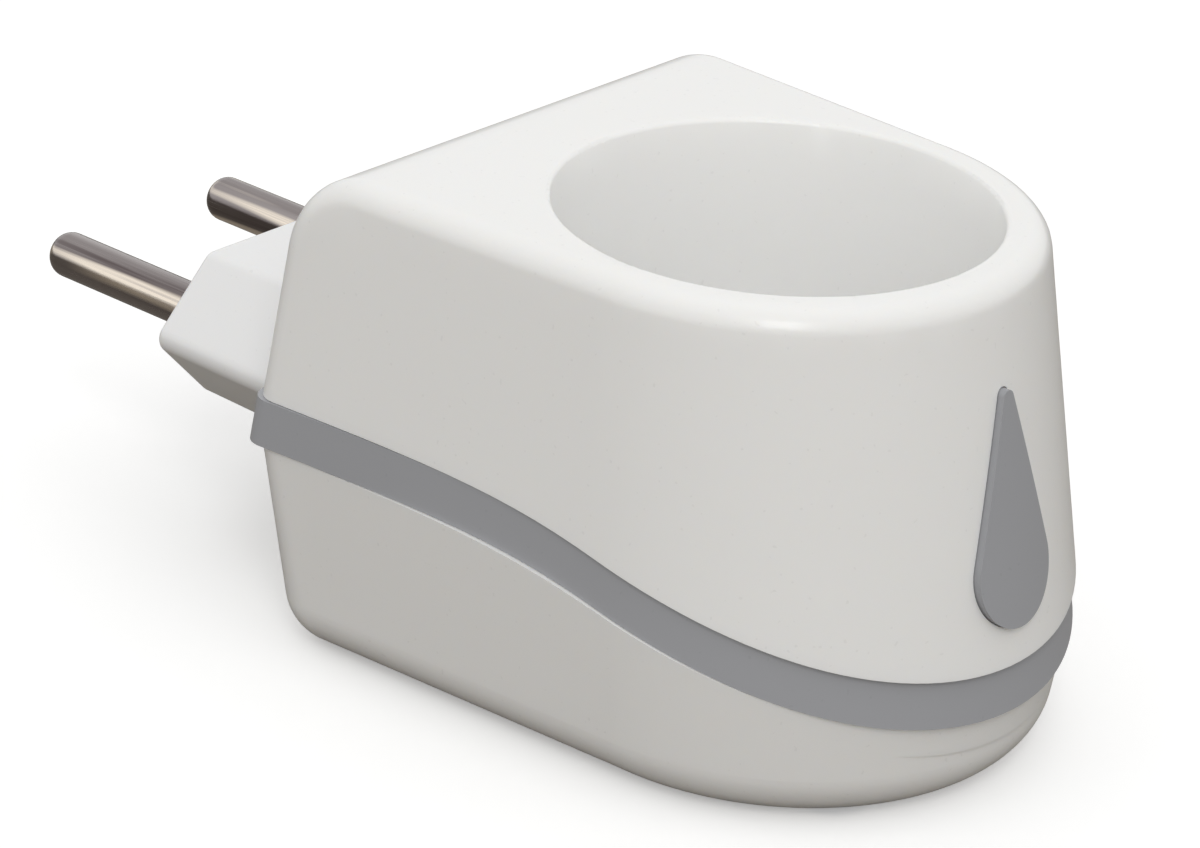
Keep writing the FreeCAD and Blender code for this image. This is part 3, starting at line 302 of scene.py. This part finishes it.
def calculated(tree, operation, one, other):
    """A sum, product or comparison of two fields, or of a field and a number."""
    node = tree.nodes.new("ShaderNodeMath")
    node.operation = operation
    for index, value in enumerate((one, other)):
        if isinstance(value, (int, float)):
            node.inputs[index].default_value = value
        else:
            tree.links.new(value, node.inputs[index])
    return node.outputs["Value"]


def either(tree, test, yes, no):
    """One of two vectors, by a test."""
    node = tree.nodes.new("GeometryNodeSwitch")
    node.input_type = "VECTOR"
    tree.links.new(test, node.inputs["Switch"])
    tree.links.new(yes, node.inputs["True"])
    tree.links.new(no, node.inputs["False"])
    return node.outputs["Output"]


def sampled(tree, mesh, kind, value, corner):
    """A value read from one face corner of a mesh."""
    node = tree.nodes.new("GeometryNodeSampleIndex")
    node.data_type = kind
    node.domain = "CORNER"
    tree.links.new(mesh, node.inputs["Geometry"])
    tree.links.new(value, node.inputs["Value"])
    tree.links.new(corner, node.inputs["Index"])
    return node.outputs["Value"]


def edges_marked(tree, mesh, sharp):
    """A mesh that is smooth apart from its sharp edges."""
    node = tree.nodes.new("GeometryNodeSetMeshNormal")
    node.mode = "SHARPNESS"
    tree.links.new(mesh, node.inputs["Mesh"])
    tree.links.new(sharp, node.inputs["Edge Sharpness"])
    return node.outputs["Mesh"]


def normals_of_copy(tree, copy, corner_of_copy):
    """For each face corner the copy's normal there, or its own one on a face that the weld has lost."""
    normal = tree.nodes.new("GeometryNodeInputNormal").outputs["Normal"]
    corner = tree.nodes.new("GeometryNodeInputIndex").outputs["Index"]
    found = None
    for lost in range(LOST_FACES + 1):
        place = calculated(tree, "SUBTRACT", corner, 3 * lost)
        away = calculated(tree, "SUBTRACT", sampled(tree, copy, "FLOAT", corner_of_copy, place), corner)
        same = calculated(tree, "LESS_THAN", calculated(tree, "ABSOLUTE", away, 0), 0.5)
        share = tree.nodes.new("ShaderNodeVectorMath")
        share.operation = "SCALE"
        tree.links.new(sampled(tree, copy, "FLOAT_VECTOR", normal, place), share.inputs[0])
        tree.links.new(same, share.inputs["Scale"])
        if found is None:
            found = share.outputs["Vector"]
            continue
        both = tree.nodes.new("ShaderNodeVectorMath")
        both.operation = "ADD"
        tree.links.new(found, both.inputs[0])
        tree.links.new(share.outputs["Vector"], both.inputs[1])
        found = both.outputs["Vector"]
    length = tree.nodes.new("ShaderNodeVectorMath")
    length.operation = "LENGTH"
    tree.links.new(found, length.inputs[0])
    return either(tree, calculated(tree, "GREATER_THAN", length.outputs["Value"], 0.5), found, normal)


def even_round_edges():
    """Takes normals from a welded copy that is smooth up to an angle, so that round edges run evenly."""
    tree, source, result = shading_tree("even_round_edges", ("Weld Distance", "Edge Angle"))
    numbered = tree.nodes.new("GeometryNodeCaptureAttribute")
    numbered.domain = "CORNER"
    numbered.capture_items.new("FLOAT", "Corner")
    tree.links.new(source.outputs["Mesh"], numbered.inputs["Geometry"])
    tree.links.new(tree.nodes.new("GeometryNodeInputIndex").outputs["Index"], numbered.inputs["Corner"])
    weld = tree.nodes.new("GeometryNodeMergeByDistance")
    tree.links.new(numbered.outputs["Geometry"], weld.inputs["Geometry"])
    tree.links.new(source.outputs["Weld Distance"], weld.inputs["Distance"])
    angle = tree.nodes.new("GeometryNodeInputMeshEdgeAngle")
    sharp = calculated(tree, "GREATER_THAN", angle.outputs["Unsigned Angle"], source.outputs["Edge Angle"])
    # the mesh itself is marked sharp at the same edges, so that both sides of one keep their own normals
    smooth = edges_marked(tree, weld.outputs["Geometry"], sharp)
    marked = edges_marked(tree, source.outputs["Mesh"], sharp)
    normals = tree.nodes.new("GeometryNodeSetMeshNormal")
    normals.mode = "FREE"
    normals.domain = "CORNER"
    tree.links.new(marked, normals.inputs["Mesh"])
    taken = normals_of_copy(tree, smooth, numbered.outputs["Corner"])
    tree.links.new(taken, normals.inputs["Custom Normal"])
    tree.links.new(normals.outputs["Mesh"], result.inputs["Mesh"])
    return tree


def even_tub_wall():
    """Gives the tub's outer wall one lean, from the round bottom edge up to the band."""
    tree, source, result = shading_tree("even_tub_wall", ("Wall Foot", "Wall Front", "Wall Lean"))
    place = tree.nodes.new("ShaderNodeSeparateXYZ")
    position = tree.nodes.new("GeometryNodeInputPosition")
    tree.links.new(position.outputs["Position"], place.inputs["Vector"])
    normal = tree.nodes.new("GeometryNodeInputNormal")
    parts = tree.nodes.new("ShaderNodeSeparateXYZ")
    tree.links.new(normal.outputs["Normal"], parts.inputs["Vector"])
    flat = tree.nodes.new("ShaderNodeCombineXYZ")
    for axis in ("X", "Y"):
        tree.links.new(parts.outputs[axis], flat.inputs[axis])
    outward = tree.nodes.new("ShaderNodeVectorMath")
    outward.operation = "NORMALIZE"
    tree.links.new(flat.outputs["Vector"], outward.inputs[0])
    down = tree.nodes.new("ShaderNodeCombineXYZ")
    tree.links.new(calculated(tree, "MULTIPLY", source.outputs["Wall Lean"], -1), down.inputs["Z"])
    leaned = tree.nodes.new("ShaderNodeVectorMath")
    leaned.operation = "ADD"
    tree.links.new(outward.outputs["Vector"], leaned.inputs[0])
    tree.links.new(down.outputs["Vector"], leaned.inputs[1])
    above = calculated(tree, "GREATER_THAN", place.outputs["Z"], source.outputs["Wall Foot"])
    before = calculated(tree, "LESS_THAN", place.outputs["Y"], source.outputs["Wall Front"])
    tilt = calculated(tree, "ABSOLUTE", parts.outputs["Z"], 0)
    upright = calculated(tree, "LESS_THAN", tilt, UPRIGHT)
    wall = calculated(tree, "MULTIPLY", calculated(tree, "MULTIPLY", above, before), upright)
    choice = either(tree, wall, leaned.outputs["Vector"], normal.outputs["Normal"])
    normals = tree.nodes.new("GeometryNodeSetMeshNormal")
    normals.mode = "FREE"
    normals.domain = "CORNER"
    tree.links.new(source.outputs["Mesh"], normals.inputs["Mesh"])
    tree.links.new(choice, normals.inputs["Custom Normal"])
    tree.links.new(normals.outputs["Mesh"], result.inputs["Mesh"])
    return tree


def add_modifier(node, tree, **sizes):
    """A Geometry Nodes modifier on a CAD node, with its sizes set by the identifiers of their sockets."""
    modifier = NODES[node].modifiers.new(tree.name, "NODES")
    modifier.node_group = tree
    for item in tree.interface.items_tree:
        size = item.name.replace(" ", "_").lower()
        if item.in_out == "INPUT" and size in sizes:
            modifier[item.identifier] = sizes[size]


add_modifier("upper_housing", even_round_edges(), weld_distance=WELD, edge_angle=EDGE_ANGLE)
add_modifier("lower_housing", even_tub_wall(), wall_foot=TUB_FOOT, wall_front=TUB_FRONT, wall_lean=TUB_LEAN)


# Stage

# a hair below the foot, so that the two faces don't lie in one plane
FLOOR = CAD_BOX[0][2] - 2e-5
FLOOR_HALF = 3.0
# the floor's colour as the part is lit by it, and as the camera sees it, with a glow for the camera alone
FLOOR_BOUNCE = (0.25, 0.228, 0.20)
FLOOR_SEEN = (0.87, 0.87, 0.865)
FLOOR_GLOW = 0.28
SURROUND = 0.77
LIT_POINT = Vector((0, CUP_Y, 0))


def stage_floor():
    """A plain pale floor that reads white where it is lit and keeps the shadow."""
    mesh = bpy.data.meshes.new("floor")
    signs = ((-1, -1), (1, -1), (1, 1), (-1, 1))
    mesh.from_pydata([(x * FLOOR_HALF, y * FLOOR_HALF, FLOOR) for x, y in signs], [], [(0, 1, 2, 3)])
    floor = bpy.data.objects.new("floor", mesh)
    scene.collection.objects.link(floor)
    material = bpy.data.materials.new("pale_floor")
    material.use_nodes = True
    tree = material.node_tree
    tree.nodes.clear()
    out = tree.nodes.new("ShaderNodeOutputMaterial")
    matt = tree.nodes.new("ShaderNodeBsdfDiffuse")
    glow = tree.nodes.new("ShaderNodeEmission")
    path = tree.nodes.new("ShaderNodeLightPath")
    both = tree.nodes.new("ShaderNodeAddShader")
    level = tree.nodes.new("ShaderNodeMath")
    level.operation = "MULTIPLY"
    level.inputs[1].default_value = FLOOR_GLOW
    tree.links.new(path.outputs["Is Camera Ray"], level.inputs[0])
    seen = blended(tree, path.outputs["Is Camera Ray"], FLOOR_BOUNCE, FLOOR_SEEN)
    tree.links.new(seen, matt.inputs["Color"])
    tree.links.new(level.outputs["Value"], glow.inputs["Strength"])
    tree.links.new(matt.outputs["BSDF"], both.inputs[0])
    tree.links.new(glow.outputs["Emission"], both.inputs[1])
    tree.links.new(both.outputs["Shader"], out.inputs["Surface"])
    mesh.materials.append(material)


def white_world(level):
    """An even surround that lights at a level and shows white to the camera and in reflections."""
    world = bpy.data.worlds.new("surround")
    scene.world = world
    world.use_nodes = True
    tree = world.node_tree
    tree.nodes.clear()
    out = tree.nodes.new("ShaderNodeOutputWorld")
    back = tree.nodes.new("ShaderNodeBackground")
    back.inputs["Color"].default_value = (1, 1, 1, 1)
    path = tree.nodes.new("ShaderNodeLightPath")
    seen = path.outputs["Is Camera Ray"]
    for kind in ("Is Glossy Ray", "Is Transmission Ray"):
        node = tree.nodes.new("ShaderNodeMath")
        node.operation = "MAXIMUM"
        tree.links.new(seen, node.inputs[0])
        tree.links.new(path.outputs[kind], node.inputs[1])
        seen = node.outputs["Value"]
    tree.links.new(ramp(tree, seen, 0, 1, level, 1.0), back.inputs["Strength"])
    tree.links.new(back.outputs["Background"], out.inputs["Surface"])


def softbox(name, place, width, height, power):
    """A rectangular lamp that points at the middle of the cup, of a power in watts."""
    light = bpy.data.lights.new(name, "AREA")
    light.shape = "RECTANGLE"
    light.size = width
    light.size_y = height
    light.energy = power
    lamp = bpy.data.objects.new(name, light)
    scene.collection.objects.link(lamp)
    lamp.location = place
    lamp.rotation_euler = (LIT_POINT - Vector(place)).to_track_quat("-Z", "Y").to_euler()


stage_floor()
white_world(SURROUND)
softbox("top_softbox", (0.0, 0.0, 0.9), 0.7, 0.7, 0.25)
softbox("front_softbox", (-0.75, -0.75, 0.85), 0.35, 0.7, 3.7)


# Camera, as the photograph was taken: its angles round the part, its aim and the pixel of the aim

FRAME_WIDTH, FRAME_HEIGHT = 1200, 848
FOCAL_PIXELS = 5013.86
TURN, LIFT, ROLL = (math.radians(angle) for angle in (50.67, 24.909, 3.749))
DISTANCE = 0.40585
AIM = Vector((0, -0.052445, -0.0105))
AIM_PIXEL = (754.944, 600.309)

back = Vector((-math.sin(TURN) * math.cos(LIFT), -math.cos(TURN) * math.cos(LIFT), math.sin(LIFT)))
level = Vector((0, 0, 1)).cross(back).normalized()
above = back.cross(level)
right = level * math.cos(ROLL) + above * math.sin(ROLL)
up = above * math.cos(ROLL) - level * math.sin(ROLL)
across = (AIM_PIXEL[0] - FRAME_WIDTH / 2) * DISTANCE / FOCAL_PIXELS
along = (FRAME_HEIGHT / 2 - AIM_PIXEL[1]) * DISTANCE / FOCAL_PIXELS
lens = bpy.data.cameras.new("photo_camera")
lens.sensor_fit = "HORIZONTAL"
lens.sensor_width = 36.0
lens.lens = FOCAL_PIXELS * lens.sensor_width / FRAME_WIDTH
lens.clip_start = 0.01
lens.clip_end = 20.0
camera = bpy.data.objects.new("photo_camera", lens)
scene.collection.objects.link(camera)
turn = Matrix((right, up, back)).transposed().to_4x4()
camera.matrix_world = Matrix.Translation(AIM + back * DISTANCE - right * across - up * along) @ turn
scene.camera = camera
scene.view_settings.view_transform = "Standard"
